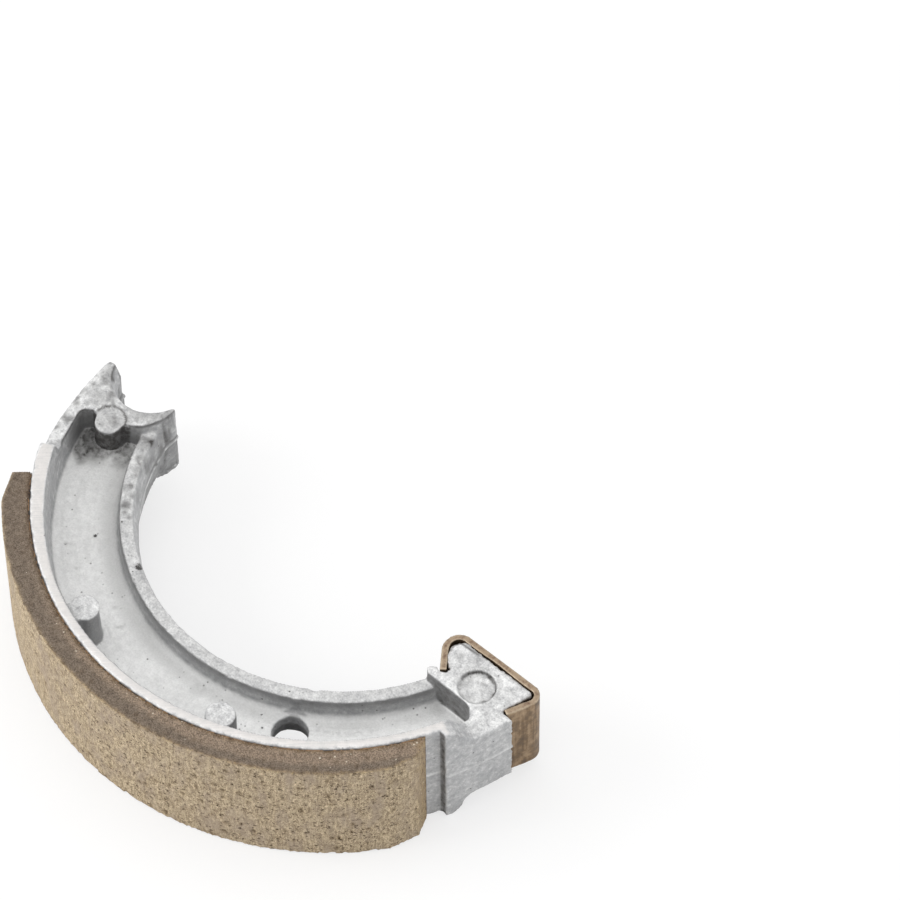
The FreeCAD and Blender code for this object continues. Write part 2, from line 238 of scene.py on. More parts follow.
cast = {  # the shoe's casting, in millimetres and degrees
    "voxel": 0.27,
    "smoothing": 2,
    "evened": 5,
    "triangles": 190000,
    "eyeBoss": (-40.4, -11.45),
    "downhill": (0.66, -0.75),  # from the pivot eye along the channel
    "hole": (22.05, -34.1),
    "eyeTips": ((-33.8, -2.5, 1.5), (-49.0, -2.3, 1.0)),  # x, y and reach of the worn corners
    "tipRounds": 6,
    "ribCentre": (1.1, 2.9),
    "ribTop": 18.3,
    "ribSunk": 0.85,  # how far the rib is missing under the hole, as a share
    "recess": (41.85, -10.2),
    "middle": shoeWidth / 2,
    "webTop": 14.5,
    "webLow": 10.3,
    "webRise": 0.8,  # how much the web climbs to the pivot boss
    "lipWall": (48.2, -9.6),  # a point of the head's wall at the clip's lip
    "lipWallFaces": (0.92, -0.39),
    "lipWallLift": 0.25,
    "lips": ((64.4, 70.5, 8), (-66.0, -58.0, 6)),  # from and to, rounds of rounding off
    "camLip": (64.3, 70.0),  # where the rim's sides run down to the block
    "blockLow": 4.25,
    "ledge": 0.16,
    "draft": 0.035,
    "turning": 0.8,  # pitch of the turning marks
    "holeSkin": 0.2,
    "rimInner": 48.2,
    "rimGrowth": 1.0,  # how much thicker the rim's top is at the pivot end
    "rimBosses": ((-16.0, -42.75), (14.7, -42.6)),
    "padStepAngle": 63.5,
    # x, y, z, radius, depth, darkness
    "nicks": [
        (-17.2, -28.6, 18.3, 1.1, 0.60, 1.0), (21.1, -27.0, 18.3, 1.0, 0.60, 0.9),
        (8.8, -34.7, 18.3, 0.7, 0.30, 0.5), (-16.2, -31.3, 18.3, 0.6, 0.25, 1.0),
        (-17.3, -30.2, 18.3, 0.4, 0.12, 0.9), (-25.7, -24.1, 18.3, 0.5, 0.20, 1.0),
        (-28.9, -27.4, 14.5, 0.5, 0.30, 1.0), (-31.6, -31.9, 14.6, 0.5, 0.20, 0.9),
        (-30.9, -31.3, 14.6, 0.6, 0.12, 0.5), (-26.8, -34.3, 14.5, 0.5, 0.15, 0.6),
        (-22.7, -33.5, 14.5, 0.4, 0.12, 0.6), (-16.0, -33.5, 14.5, 0.4, 0.12, 0.5),
        (-29.9, -33.0, 14.5, 0.3, 0.08, 0.8), (-28.6, -34.0, 14.5, 0.28, 0.08, 0.8),
        (-27.8, -35.1, 14.5, 0.3, 0.08, 0.7), (-26.2, -35.9, 14.5, 0.26, 0.08, 0.8),
        (-24.9, -30.0, 14.5, 0.24, 0.06, 0.8), (-22.2, -31.9, 14.5, 0.26, 0.06, 0.8),
        (16.3, -34.9, 14.5, 0.38, 0.22, 0.9), (16.9, -35.3, 14.5, 0.3, 0.15, 0.9),
        (18.1, -36.7, 14.5, 0.36, 0.18, 0.9), (17.2, -36.3, 14.5, 0.3, 0.15, 0.8),
        (33.0, -17.5, 18.3, 0.6, 0.20, 0.5), (-45.3, -14.0, 20.75, 0.4, 0.10, 0.6),
        (42.1, -12.2, 20.4, 0.6, 0.15, 0.6), (42.8, -9.7, 20.4, 0.5, 0.15, 0.5),
    ],
    # x, y, z, radius, darkness: real stains, and painted shade on the pocket floor beside the pivot boss
    "stainsAndShade": [
        (-29.6, -18.0, 18.3, 1.1, 1.0), (-27.4, -21.2, 18.3, 1.4, 1.0), (-26.6, -22.4, 18.3, 0.7, 0.8),
        (-25.4, -22.6, 18.3, 0.9, 0.7), (-28.9, -15.6, 18.3, 1.3, 0.7), (-30.4, -15.8, 18.3, 0.9, 0.6),
        (-27.9, -19.2, 18.3, 0.8, 0.6), (-32.4, -12.8, 18.3, 1.2, 0.7), (5.2, -37.9, 14.5, 2.6, 0.35),
        (-40.4, -14.5, 15.0, 4.2, 0.8), (-36.2, -12.5, 15.0, 4.5, 0.75), (-41.3, -15.3, 14.6, 1.2, 0.6),
        (-45.0, -9.0, 20.75, 3.0, 0.35), (-38.0, -10.2, 20.75, 2.0, 0.45),
        (-47.0, -4.5, 20.75, 2.6, 0.45), (-43.7, -7.6, 20.75, 1.8, 0.5), (-34.0, -10.0, 18.3, 2.8, 0.5),
        (-32.0, -12.5, 18.3, 2.0, 0.45), (-35.0, -6.0, 20.75, 2.0, 0.4), (-33.6, -4.0, 20.5, 1.8, 0.5),
        (35.7, -7.5, 20.75, 1.4, 0.3), (38.3, -6.4, 20.75, 1.5, 0.25), (-32.9, -6.0, 16.5, 3.5, 0.5),
        (34.0, -19.0, 14.5, 4.0, 0.3), (48.0, -9.0, 20.75, 1.2, 0.3),
        (-47.1, -3.0, 20.75, 1.0, 0.7), (-46.6, -4.6, 20.75, 1.1, 0.6), (-44.9, -6.0, 20.75, 1.2, 0.6),
        (-43.7, -7.5, 20.75, 1.2, 0.75), (-43.2, -8.6, 20.75, 0.9, 0.6), (-46.9, -12.7, 20.75, 1.0, 0.6),
        (-46.6, -7.1, 20.75, 0.8, 0.5), (-44.5, -10.4, 20.75, 1.0, 0.5), (-48.0, -10.0, 20.75, 1.2, 0.4),
        (-35.1, -5.9, 20.75, 1.2, 0.6), (-34.2, -3.6, 20.75, 1.0, 0.6), (-33.0, -4.6, 17.0, 2.0, 0.6),
        (-33.0, -8.9, 18.3, 1.6, 1.0), (-32.6, -8.0, 16.4, 2.0, 0.65), (-31.9, -10.6, 15.2, 1.8, 0.6),
        (-33.3, -3.6, 9.5, 2.4, 0.55), (-33.0, -6.4, 7.0, 3.4, 0.6), (-28.2, -17.6, 16.0, 2.2, 0.4),
        (-36.8, -6.4, 20.75, 3.2, 0.5), (-39.6, -6.9, 20.75, 2.2, 0.4), (-33.2, -8.4, 19.5, 2.4, 0.6),
        (-31.0, -14.6, 18.3, 2.0, 0.4), (-26.2, -24.8, 18.3, 1.6, 0.3), (-43.6, -14.8, 14.6, 3.0, 0.6),
    ],
    # x, y, z, radius, height: burrs left in the seat and crumbs caught beside the clip
    "burrs": [
        (-46.2, -2.1, 12.6, 0.9, 0.40), (-45.5, -2.3, 14.0, 0.7, 0.30), (-44.4, -2.7, 12.3, 0.9, 0.45),
        (-45.0, -2.5, 10.9, 0.7, 0.30), (36.0, -4.3, 20.6, 0.5, 0.30), (40.0, -5.1, 20.6, 0.45, 0.35),
        (43.2, -5.0, 20.6, 0.4, 0.30), (49.4, -6.9, 20.6, 0.6, 0.40), (49.2, -5.4, 20.0, 1.6, 0.70),
        (48.1, -11.2, 20.6, 0.45, 0.30), (36.4, -10.6, 20.3, 0.9, 0.60), (34.3, -6.6, 20.0, 1.4, 0.50),
        (34.7, -8.3, 19.6, 2.2, 0.40), (49.0, -7.6, 20.5, 0.6, 0.35), (48.7, -8.7, 20.4, 0.5, 0.30),
    ],
    # level, width, darkness, then the points that the line joins
    "lines": [
        (20.75, 0.34, 0.8, ((33.8, -7.6), (33.5, -6.2), (34.3, -5.5), (37.8, -5.35))),
        (14.5, 0.28, 0.28, ((-13.4, -38.5), (-12.1, -35.8))),
        (14.5, 0.26, 0.25, ((-16.7, -36.1), (-15.1, -33.9))),
        (14.5, 0.26, 0.2, ((-15.3, -39.1), (-12.6, -40.5))),
    ],
    "footCorner": (50.3, -10.9),
}

castShoe = copyOfNode("shoe_casting", "castShoe")
remesh(castShoe, cast["voxel"], cast["smoothing"])
evenOut(castShoe, cast["evened"])


def fromPlace(points, place):  # distance in plan
    return np.hypot(points[:, 0] - place[0], points[:, 1] - place[1])


def uprightness(normals, low, high):  # 1 on upright walls, 0 on level faces
    return 1 - smoothStep(low, high, np.abs(normals[:, 2]))


def hubSide(points, normals):  # 1 on upright walls that look at the drum's axis
    inwards = -np.einsum("ij,ij->i", normals[:, :2], points[:, :2]) / fromAxis(points)
    return smoothStep(0.5, 0.8, inwards)


def partingLine(points, normals):  # 1 on the seam of the die's two halves
    ragged = 0.55 + 0.6 * ripple(points, 2.0, 5) + 0.5 * smoothStep(-29, -31, points[:, 0])
    ragged = np.clip(ragged, 0, 1) * (fromPlace(points, cast["hole"]) > 4.2)
    seam = np.clip(1.3 - np.abs(points[:, 2] - cast["middle"]) / 0.36, 0, 1)
    return seam * ragged * uprightness(normals, 0.3, 0.6)


def beside(points, normals):  # 1 on the head's walls that face the folded clip
    x, y, z = points.T
    across = smoothStep(31.5, 33, x) * smoothStep(-11.3, -10.6, y) * smoothStep(20.6, 20.3, z)
    outwards = (normals[:, 1] > 0.3) | (x > 47) | (x < 36)
    return across * outwards * uprightness(normals, 0.3, 0.6)


def shapeRim(points, edges):  # the rim's two ends, and the ground edge that widens towards the pivot
    angle = aroundAxis(points)
    for start, end, rounds in cast["lips"]:
        share = smoothStep(start, start + 1.5, angle) * smoothStep(end, end - 1.5, angle)
        share *= smoothStep(43, 45, fromAxis(points))
        share *= smoothStep(7.2, 8.5, np.abs(points[:, 2] - cast["middle"]))
        points = roundOff(points, edges, share, rounds)
    radius = fromAxis(points)
    rise = cast["blockLow"] * smoothStep(*cast["camLip"], angle) * smoothStep(44.0, 46.0, radius)
    fromMiddle = points[:, 2] - cast["middle"]
    reach = np.minimum(np.abs(fromMiddle), cast["middle"] - rise)
    points[:, 2] = cast["middle"] + np.sign(fromMiddle) * reach
    inner = cast["rimInner"]
    growth = cast["rimGrowth"] * smoothStep(-14, -66, angle) * smoothStep(-65.5, -63.0, angle)
    growth *= smoothStep(inner + 1.2, inner + 0.6, radius) * smoothStep(inner - 2.2, inner - 1.4, radius)
    growth *= smoothStep(14.6, 24.0, points[:, 2])
    points[:, :2] -= points[:, :2] / radius[:, None] * growth[:, None]
    return points


def shapeBlocks(points, edges):  # the web at the pivot boss, the low rib, the lip's wall, the horns
    onWeb = smoothStep(15.3, 14.7, points[:, 2]) * smoothStep(14.2, 14.4, points[:, 2])
    points[:, 2] += onWeb * cast["webRise"] * smoothStep(5.2, 3.0, fromPlace(points, cast["eyeBoss"]))
    under = smoothStep(8.5, 5.5, fromPlace(points, cast["hole"]))
    under *= smoothStep(39.8, 39.2, fromPlace(points, cast["ribCentre"]))
    depth = np.clip(cast["webLow"] - points[:, 2], 0, None) * (fromAxis(points) < 43)
    points[:, 2] += depth * under * cast["ribSunk"]
    faces = np.array(cast["lipWallFaces"])
    beyond = (points[:, :2] - np.array(cast["lipWall"])) @ faces
    atLip = smoothStep(-1.0, -0.2, beyond) * (points[:, 0] > 46) * smoothStep(-12.4, -10.0, points[:, 1])
    points[:, :2] += cast["lipWallLift"] * atLip[:, None] * faces
    for x, y, reach in cast["eyeTips"]:
        worn = smoothStep(reach, reach * 0.4, fromPlace(points, (x, y)))
        points = roundOff(points, edges, worn, cast["tipRounds"])
    return points


def roughSkin(points, normals, edges):  # lift of the rough skin, less on the ground edges and at corners
    x, z = points[:, 0], points[:, 2]
    flatEnds = smoothStep(0.9, 0.97, np.abs(normals[:, 2]))
    atEnds = np.maximum(smoothStep(24.7, 24.95, z), smoothStep(-0.3, -0.05, -z))
    rough = 1 - flatEnds * atEnds
    lift = 0.035 * ripple(points, 1.4) + 0.035 * ripple(points, 0.7, 9) - 0.03
    lift = rough * (lift + 0.05 * ripple(points, 6, 3))
    brink = blur(np.clip(-hollowness(points, normals, edges) * 4, 0, 1), edges, 2)
    knocks = 0.7 * ripple(points, 1.7, 11) + 0.5 * ripple(points, 0.6, 12) + 0.1
    lift -= brink * np.clip(knocks, 0, 1) * 0.28 * (1 - 0.7 * smoothStep(-42, -45, x))
    rimOut = smoothStep(49.0, 49.6, fromAxis(points)) * smoothStep(24.2, 24.7, z)
    notches = 1.3 * ripple(points, 1.0, 61) + 0.7 * ripple(points, 0.5, 62)
    lift -= brink * rimOut * np.clip(notches, 0, 1) * 0.4  # ragged along the bond line
    corner = smoothStep(0.9, 0.3, fromPlace(points, cast["footCorner"])) * brink
    return lift + corner * np.clip(0.2 + ripple(points, 0.8, 17), -0.3, 1) * 0.5


def dieForms(points, normals):  # lift of what the die left: draft, ledge, flash, turning marks
    x, z = points[:, 0], points[:, 2]
    off = z - cast["middle"]
    atEye = smoothStep(-30.5, -32.0, x)
    ledge = smoothStep(0.15, -0.15, off) * cast["ledge"] * (1 + atEye)
    lift = -hubSide(points, normals) * (np.abs(off) * cast["draft"] + ledge)
    lift += partingLine(points, normals) * (0.14 + 0.12 * atEye)
    bossSide = smoothStep(4.4, 3.2, fromPlace(points, cast["eyeBoss"])) * uprightness(normals, 0.3, 0.6)
    lift += bossSide * smoothStep(17.6, 15.0, z) * 0.1 * np.sin(z * 2 * math.pi / cast["turning"])
    holeWall = smoothStep(4.2, 3.8, fromPlace(points, cast["hole"])) * uprightness(normals, 0.6, 0.9)
    lift += holeWall * cast["holeSkin"]
    atStep = smoothStep(1.3, 0.4, np.abs(aroundAxis(points) - cast["padStepAngle"]))
    lift += atStep * (fromAxis(points) > 49) * 0.16 * ripple(points, 0.55, 35)
    inRecess = smoothStep(3.3, 2.8, fromPlace(points, cast["recess"])) * smoothStep(20.0, 20.2, z)
    return lift + inRecess * 0.26 * (ripple(points, 0.9, 7) - 1)


def nicksAndBurrs(points, normals):  # lift of the crumbs beside the clip, the nicks and the burrs
    x = points[:, 0]
    crumbs = 0.22 - 0.14 * smoothStep(46, 47.5, x)
    crumbs += 0.16 * ripple(points, 1.6, 23) + 0.16 * ripple(points, 0.55, 24)
    leftGap = 0.25 * smoothStep(36.5, 35.0, x)
    lift = beside(points, normals) * (np.clip(crumbs, 0, 0.42) + leftGap)
    for *spot, radius, depth, _ in cast["nicks"]:
        lift -= depth * smoothStep(0, 1, nearness(points, spot, radius))
    crumbly = np.clip(0.6 + 0.8 * ripple(points, 0.6, 15), 0, 1)
    for *spot, radius, height in cast["burrs"]:
        lift += height * crumbly * smoothStep(0, 1, nearness(points, spot, radius))
    return lift


def castWeather(mesh):
    points, normals, edges = readMesh(mesh)
    writePoints(mesh, shapeBlocks(shapeRim(points, edges), edges))
    points, normals, edges = readMesh(mesh)
    lift = roughSkin(points, normals, edges) + dieForms(points, normals) + nicksAndBurrs(points, normals)
    writePoints(mesh, keptInside(points + normals * lift[:, None]))


castWeather(castShoe.data)
thin(castShoe, cast["triangles"])


def pocketGrimeAndShade(points, normals, patch):  # old oil round the pivot boss with painted shade, darkest under its top
    x, y, z = points.T
    boss, downhill = np.array(cast["eyeBoss"]), np.array(cast["downhill"])
    fromBoss, upright = fromPlace(points, boss), uprightness(normals, 0.5, 0.8)
    toBoss = (boss - points[:, :2]) / (fromBoss[:, None] + 1e-6)
    facing = np.einsum("ij,ij->i", normals[:, :2], toBoss)  # above 0 on the pocket's own walls
    inside = smoothStep(14.0, 14.4, z) * smoothStep(20.4, 19.6, z) * np.clip(0.75 + 0.4 * patch, 0, 1)
    wallGrimeAndShade = smoothStep(9.0, 5.5, fromBoss) * upright * smoothStep(-0.5, 0.0, facing)
    away = (points[:, :2] - boss) @ downhill
    reach = 5.3 + 3.0 * smoothStep(0.5, -4.0, away) + 0.8 * ripple(points, 2.2, 43)
    reach += 2.6 * smoothStep(42.5, 45.5, fromAxis(points))
    ringed = smoothStep(reach, reach - 2.2, fromBoss)
    ringed *= np.maximum(smoothStep(0.5, 0.8, normals[:, 2]) * (z < 17), fromBoss < 3.6)
    waves = np.where(upright > 0.5, z / cast["turning"], fromBoss / 0.75)
    ringed *= (0.8 + 0.2 * (0.5 + 0.5 * np.sin(waves * 2 * math.pi))) * (1 + 0.3 * (upright > 0.5))
    # painted shade: a dark band just under the top edge on walls that face away from the light
    topEdgeShade = smoothStep(0.0, 0.5, normals[:, :2] @ downhill) * upright * (x < -26) * (fromBoss > 3.4)
    topEdgeShade *= smoothStep(19.5, 20.1, z) * smoothStep(20.8, 20.5, z) * np.clip(0.5 + 0.5 * patch, 0, 0.9)
    # painted shade: the ring where the boss top sits lower than the block's top
    shadedRing = 0.9 * smoothStep(0.35, 0.1, np.abs(fromBoss - 2.8)) * smoothStep(20.0, 20.3, z)
    shadedRing *= smoothStep(-12.2, -11.0, y)
    top = smoothStep(3.0, 2.5, fromBoss) * smoothStep(19.6, 20.0, z) * (0.18 + 0.22 * patch)
    return np.maximum.reduce([inside * wallGrimeAndShade * 0.62, inside * ringed, topEdgeShade, shadedRing, top])


def rimBossShade(points, normals):  # painted shade, streaked, on the sides of the rim's ejector bosses that face away from the light
    z = points[:, 2]
    runs = ripple(points * np.array([1, 1, 0.15]), 0.6, 28)
    shaded = smoothStep(-0.4, 0.3, normals[:, :2] @ np.array(cast["downhill"]))
    shaded *= uprightness(normals, 0.5, 0.8) * smoothStep(22.9, 22.5, z) * smoothStep(14.0, 14.5, z)
    grimeAndShade = np.zeros(len(points))
    for boss in cast["rimBosses"]:
        wall = smoothStep(3.4, 2.9, fromPlace(points, boss)) * shaded * (0.75 + 0.15 * runs)
        if boss[0] < 0:  # painted shade lighter on its right side
            wall *= 1.1 - 0.5 * smoothStep(0.15, 1.0, normals[:, 0] + 0.2 * runs)
        grimeAndShade = np.maximum(grimeAndShade, wall)
    return grimeAndShade


def channelGrimeAndShade(points, normals, patch):  # painted shade on the channel's end wall, rib, rim edge and hole; flow marks and streaks on the web
    x, y, z = points.T
    radius, angle = fromAxis(points), aroundAxis(points)
    fromRib = fromPlace(points, cast["ribCentre"])
    # painted shade on the channel's end wall
    endWallShade = smoothStep(0.5, 0.8, -normals[:, 1]) * (x > 31.5) * (x < 44) * (y > -16)
    endWallShade *= smoothStep(14.2, 14.6, z) * smoothStep(20.6, 20.1, z) * (0.62 + 0.3 * patch)
    flow = smoothStep(14, 20, x) * smoothStep(34.5, 32, x) * smoothStep(43.2, 42.0, fromRib)
    flow *= smoothStep(18.0, 17.0, z) * smoothStep(14.0, 14.4, z)
    flow *= 0.15 + 0.15 * np.sin(fromRib * 2 * math.pi / 0.8 + 2 * ripple(points, 4.0, 41))
    along = np.column_stack((radius / 0.5, np.radians(angle) * 50 / 9, z))
    streaks = np.clip(ripple(along, 1.0, 45) - 0.1, 0, 1) * 0.3 * smoothStep(-15, -30, x)
    streaks *= smoothStep(1.8, 0.6, np.abs(z - cast["webTop"]))
    # painted shade: the rib's top made darker
    ribTop = smoothStep(0.8, 0.4, np.abs(z - cast["ribTop"])) * smoothStep(0.8, 0.95, normals[:, 2])
    ribTop *= 0.1 + 0.12 * patch
    # painted shade: the rib's channel-side wall darker towards its top, and the floor at its foot
    ribWallShade = hubSide(points, -normals) * smoothStep(46.5, 45.5, radius)
    ribWallShade *= 0.72 * smoothStep(15.2, 18.2, z) * (0.8 + 0.25 * patch)
    ribFootShade = 0.26 * smoothStep(43.4, 40.0, fromRib) * smoothStep(16.5, 15.5, z) * (z > 14)
    ribFootShade *= 1 - hubSide(points, normals)
    # painted shade: a dark line along the rim's inner top edge
    rimEdgeShadeLine = 0.7 * smoothStep(0.45, 0.15, np.abs(radius - cast["rimInner"])) * smoothStep(24.2, 24.6, z)
    rimEdgeShadeLine *= smoothStep(-35, -25, angle) * smoothStep(16, 6, angle)
    # painted shade inside the spring hole, darker lower down
    hole = smoothStep(4.1, 3.6, fromPlace(points, cast["hole"])) * uprightness(normals, 0.5, 0.8)
    hole *= smoothStep(14.3, 14.0, z) * (0.15 + 0.6 * smoothStep(12.9, 12.3, z))
    return np.maximum.reduce([endWallShade, flow, streaks, ribTop, ribWallShade, ribFootShade, rimEdgeShadeLine, hole])


def eyeGrimeAndShade(points, normals, patch):  # painted shade under the hub side's ledge and under the pivot block's top edge, runs on its walls, blots on its top
    x, y, z = points.T
    atEye, hub = smoothStep(-30, -32, x), hubSide(points, normals)
    # painted shade on the hub-side wall below the parting ledge
    underLedgeShade = hub * smoothStep(12.3, 12.0, z) * atEye * 0.45 * np.clip(0.4 + patch, 0, 1)
    underSeam = smoothStep(0.5, 0.2, np.abs(z - cast["middle"] - 0.75)) * hub * (0.3 + 0.4 * atEye)
    wallGrimeAndShade = uprightness(normals, 0.5, 0.8) * smoothStep(-30.5, -31.5, x) * (y > -14)
    wallGrimeAndShade *= smoothStep(7.5, 9.0, fromPlace(points, cast["eyeBoss"])) * smoothStep(20.7, 20.4, z)
    runs = 0.08 + ripple(points * np.array([1, 1, 0.15]), 0.9, 27) + 0.35 * patch
    # the band just under the top edge is painted shade; the runs are real
    wallGrimeAndShade *= np.clip(runs + 0.45 * smoothStep(19.6, 20.2, z), 0, 0.85)
    blots = np.clip(1.5 * ripple(points, 1.4, 51) + 0.9 * ripple(points, 0.6, 52) + 0.1, 0, 1)
    blots *= 0.7 * smoothStep(-23, -33, x) * smoothStep(0.7, 0.9, normals[:, 2])
    blots *= smoothStep(17.5, 17.9, z) * (z < 21.5)
    return np.maximum.reduce([underLedgeShade, underSeam, wallGrimeAndShade, blots])


def recessShade(points):  # 1 on the side of the recess's edge that lies in shade
    turn = np.arctan2(points[:, 1] - cast["recess"][1], points[:, 0] - cast["recess"][0])
    return np.clip(0.55 + 0.6 * np.sin(turn) + 0.5 * ripple(points, 1.6, 31), 0.1, 1)


def headGrimeAndShade(points, normals, patch):  # painted shade round the recess in the cam block's head and in the pad's groove, blots in the recess
    fromRecess = fromPlace(points, cast["recess"])
    # painted shade round the recess's edge, strongest on its side away from the light
    shadedRing = 1.9 * smoothStep(0.5, 0.1, np.abs(fromRecess - 3.0))
    shadedRing += 0.5 * smoothStep(0.3, 0.1, np.abs(fromRecess - 3.8))
    shadedRing *= recessShade(points) * (0.35 + 0.45 * patch)
    blots = smoothStep(3.2, 2.6, fromRecess) * np.clip(ripple(points, 1.3, 21) + 0.1, 0, 1) * 0.7
    recess = smoothStep(20.0, 20.2, points[:, 2]) * np.clip(shadedRing + blots, 0, 1)
    # painted shade in the crease of the pad's step
    offStep = np.abs(aroundAxis(points) - cast["padStepAngle"] - 0.02 * ripple(points, 1.0, 33))
    stepCreaseShade = smoothStep(0.45, 0.15, offStep) * uprightness(normals, 0.5, 0.8) * (fromAxis(points) > 49)
    return np.maximum(recess, stepCreaseShade * np.clip(0.4 + 0.7 * patch, 0, 0.95))


def stainsShadeAndLines(points, patch):
    marks = np.zeros(len(points))
    # some stains are painted shade on the pocket floor beside the pivot boss
    for *spot, reach, darkness in cast["stainsAndShade"]:
        near = smoothStep(0, 0.8, nearness(points, spot, reach))
        marks = np.maximum(marks, near * darkness * np.clip(0.55 + 0.7 * patch, 0, 1))
    for level, width, darkness, path in cast["lines"]:
        marks = np.maximum(marks, darkness * drawnLine(points, level, width, path))
    return marks


def castMarks(mesh):  # says where the material is ground, dirty or rusty, where painted shade falls, and where edges are rubbed paler with a painted highlight
    points, normals, edges = readMesh(mesh)
    z = points[:, 2]
    level = np.abs(normals[:, 2])
    bend = hollowness(points, normals, edges)
    patch = 0.5 + 0.5 * ripple(points, 1.1, 2) + 0.4 * ripple(points, 0.5, 4)
    atEnds = np.maximum(smoothStep(24.6, 24.85, z), smoothStep(-0.35, -0.1, -z))
    writeAttribute(mesh, "ground", smoothStep(0.9, 0.97, level) * atEnds)
    # level faces; the upright walls, the rest, get the painted side shade in the material
    writeAttribute(mesh, "rubbed", smoothStep(0.55, 0.95, level))
    # painted light: the web and its fillets get a paler, more even skin
    nearWeb = smoothStep(1.8, 0.6, np.abs(z - cast["webTop"]))
    writeAttribute(mesh, "web", nearWeb * smoothStep(0.3, 0.8, normals[:, 2]))
    # painted shade: darker in inside corners and creases
    paintedCornerShade = blur(np.clip(bend * 4, 0, 1), edges, 2) * np.clip(0.35 + 0.5 * patch, 0, 1)
    # the grime attribute holds real oil and stains together with painted shade
    writeAttribute(mesh, "grimeAndShade", np.maximum.reduce([
        paintedCornerShade, pocketGrimeAndShade(points, normals, patch), rimBossShade(points, normals),
        channelGrimeAndShade(points, normals, patch), eyeGrimeAndShade(points, normals, patch),
        headGrimeAndShade(points, normals, patch), stainsShadeAndLines(points, patch)]))
    spots = np.zeros(len(points))
    for *spot, reach, _, darkness in cast["nicks"]:
        spots = np.maximum(spots, darkness * nearness(points, spot, reach * 1.2))
    writeAttribute(mesh, "spot", spots)
    writeAttribute(mesh, "rust", blur(beside(points, normals), edges, 1))
    # convex edges paler: rubbed wear together with a painted highlight
    rubbedAndLitEdges = blur(np.clip(-bend * 4 - 0.25, 0, 1), edges, 1)
    rubbedAndLitEdges *= np.clip(0.6 + ripple(points, 1.5, 19), 0, 1)
    # painted highlight: a pale crescent on the lit side of the recess's edge
    paintedLitCrescent = smoothStep(0.4, 0.15, np.abs(fromPlace(points, cast["recess"]) - 3.5))
    paintedLitCrescent *= smoothStep(20.0, 20.2, z) * smoothStep(0.3, 0.1, recessShade(points))
    writeAttribute(mesh, "edge", np.maximum.reduce([rubbedAndLitEdges, paintedLitCrescent, partingLine(points, normals)]))


castMarks(castShoe.data)
